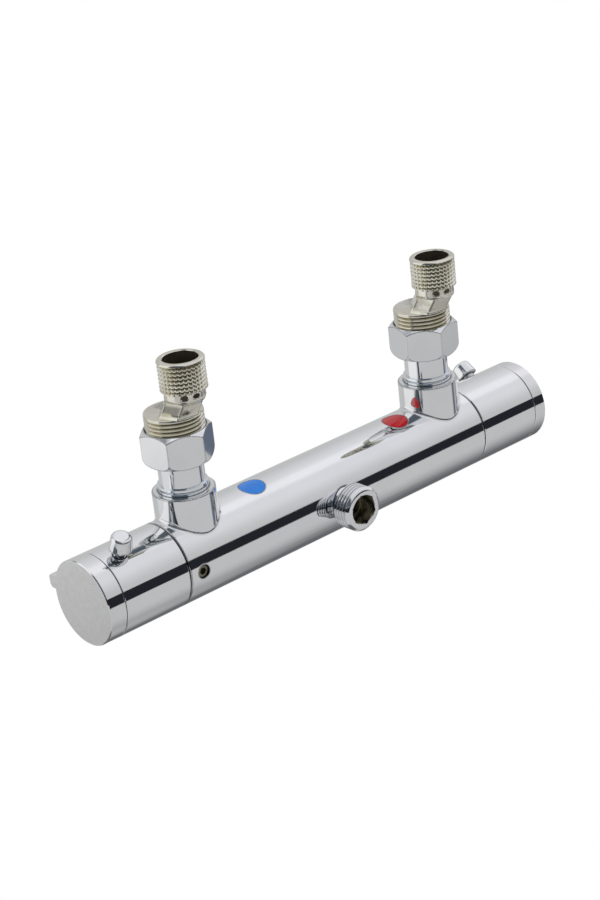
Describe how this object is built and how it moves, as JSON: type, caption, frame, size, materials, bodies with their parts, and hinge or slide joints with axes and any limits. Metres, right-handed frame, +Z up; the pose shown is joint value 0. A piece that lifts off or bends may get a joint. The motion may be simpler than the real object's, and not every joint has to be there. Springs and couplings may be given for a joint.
{
  "type": "thermostatic bar shower valve",
  "caption": "Round chrome bar valve with a turning handle at each end, offset wall unions with hexagon nuts, a threaded outlet underneath and blue and red marks.",
  "frame": {"origin": "on the wall plane, midway between the wall ends of the two eccentric unions", "axes": "+X along the bar towards the temperature handle and the cold inlet, +Y into the wall, +Z up; the outlet points down"},
  "size_m": [0.2695, 0.1141, 0.056],
  "materials": {
    "chrome_body": "polished chrome plate on brass",
    "chrome_handle": "polished chrome plate on brass",
    "satin_cap": "satin chrome face, polished edge",
    "chrome_nut": "polished chrome plate on brass",
    "nickel_union": "nickel plate on brass, cast and turned",
    "chrome_button": "polished chrome plate on brass",
    "blue_enamel": "glossy blue enamel",
    "red_enamel": "glossy red enamel",
    "brass": "plain machined brass",
    "steel_spring": "stainless spring wire",
    "steel_screw": "stainless steel",
    "cartridge_plastic": "moulded engineering plastic",
    "white_plastic": "moulded acetal",
    "rubber": "moulded seal rubber",
    "ceramic": "lapped ceramic",
    "copper_element": "copper alloy cup",
    "fibre_washer": "washer with a fine filter mesh"
  },
  "bodies": {
    "bar": {"valve_body": "chrome_body", "cold_index_dot": "blue_enamel", "hot_index_dot": "red_enamel", "cartridge_lock_screw": "steel_screw", "outlet_nipple": "chrome_nut", "temperature_cartridge_housing": "cartridge_plastic", "temperature_cartridge_seals": "rubber", "temperature_cartridge_nut": "brass", "return_spring": "steel_spring", "temperature_stop_ring": "white_plastic", "flow_cartridge_body": "brass", "flow_cartridge_seal": "rubber", "fixed_ceramic_disc": "ceramic", "flow_disc_seal": "rubber", "flow_stop_ring": "white_plastic", "cold_inlet_tail": "chrome_nut", "cold_check_valve_housing": "white_plastic", "cold_check_spring": "steel_spring", "cold_inlet_washer": "fibre_washer", "hot_inlet_tail": "chrome_nut", "hot_check_valve_housing": "white_plastic", "hot_check_spring": "steel_spring", "hot_inlet_washer": "fibre_washer"},
    "temperature_handle": {"temperature_handle": "chrome_handle", "temperature_handle_screw": "steel_screw", "temperature_end_cap": "satin_cap", "temperature_spindle": "brass", "temperature_button_spring": "steel_spring"},
    "regulator": {"temperature_carriage": "white_plastic", "overload_plunger": "brass", "overload_spring": "steel_spring", "wax_element": "copper_element", "temperature_shuttle": "white_plastic"},
    "temperature_button": {"temperature_stop_button": "chrome_button", "temperature_stop_latch": "white_plastic"},
    "flow_handle": {"flow_handle": "chrome_handle", "flow_handle_screw": "steel_screw", "flow_end_cap": "satin_cap", "flow_spindle": "brass", "moving_ceramic_disc": "ceramic", "flow_button_spring": "steel_spring"},
    "flow_button": {"flow_stop_button": "chrome_button", "flow_stop_latch": "white_plastic"},
    "cold_nut": {"cold_union_nut": "chrome_nut"},
    "hot_nut": {"hot_union_nut": "chrome_nut"},
    "cold_union": {"cold_eccentric_union": "nickel_union"},
    "hot_union": {"hot_eccentric_union": "nickel_union"},
    "cold_poppet": {"cold_check_poppet": "white_plastic"},
    "hot_poppet": {"hot_check_poppet": "white_plastic"}
  },
  "joints": [
    {"name": "temperature_handle_turn", "type": "hinge", "parent": "bar", "child": "temperature_handle", "pos_m": [0, -0.0945, 0.01], "axis": [1, 0, 0], "range_deg": [-120, 30]},
    {"name": "regulator_slide", "type": "slide", "parent": "bar", "child": "regulator", "axis": [1, 0, 0], "range_m": [-0.0005, 0.000125]},
    {"name": "temperature_button_push", "type": "slide", "parent": "temperature_handle", "child": "temperature_button", "axis": [0, -0.9336, 0.3584], "range_m": [0, 0.0032], "stiffness_N_per_m": 900, "springref_m": -0.002},
    {"name": "flow_handle_turn", "type": "hinge", "parent": "bar", "child": "flow_handle", "pos_m": [0, -0.0945, 0.01], "axis": [1, 0, 0], "range_deg": [0, 90]},
    {"name": "flow_button_push", "type": "slide", "parent": "flow_handle", "child": "flow_button", "axis": [0, -0.6428, -0.766], "range_m": [0, 0.0018], "stiffness_N_per_m": 900, "springref_m": -0.002},
    {"name": "cold_nut_turn", "type": "hinge", "parent": "bar", "child": "cold_nut", "pos_m": [0.075, -0.042, 0.01], "axis": [0, 1, 0], "continuous": true},
    {"name": "cold_union_turn", "type": "hinge", "parent": "bar", "child": "cold_union", "pos_m": [0.075, -0.033, 0.01], "axis": [0, 1, 0], "continuous": true},
    {"name": "cold_poppet_slide", "type": "slide", "parent": "bar", "child": "cold_poppet", "axis": [0, -1, 0], "range_m": [0, 0.0022], "stiffness_N_per_m": 150, "springref_m": -0.001},
    {"name": "hot_nut_turn", "type": "hinge", "parent": "bar", "child": "hot_nut", "pos_m": [-0.075, -0.042, 0.01], "axis": [0, 1, 0], "continuous": true},
    {"name": "hot_union_turn", "type": "hinge", "parent": "bar", "child": "hot_union", "pos_m": [-0.075, -0.033, 0.01], "axis": [0, 1, 0], "continuous": true},
    {"name": "hot_poppet_slide", "type": "slide", "parent": "bar", "child": "hot_poppet", "axis": [0, -1, 0], "range_m": [0, 0.0022], "stiffness_N_per_m": 150, "springref_m": -0.001}
  ],
  "couplings": [
    {"joint": "regulator_slide", "follows": "temperature_handle_turn", "m_per_rad": 0.00023873}
  ]
}
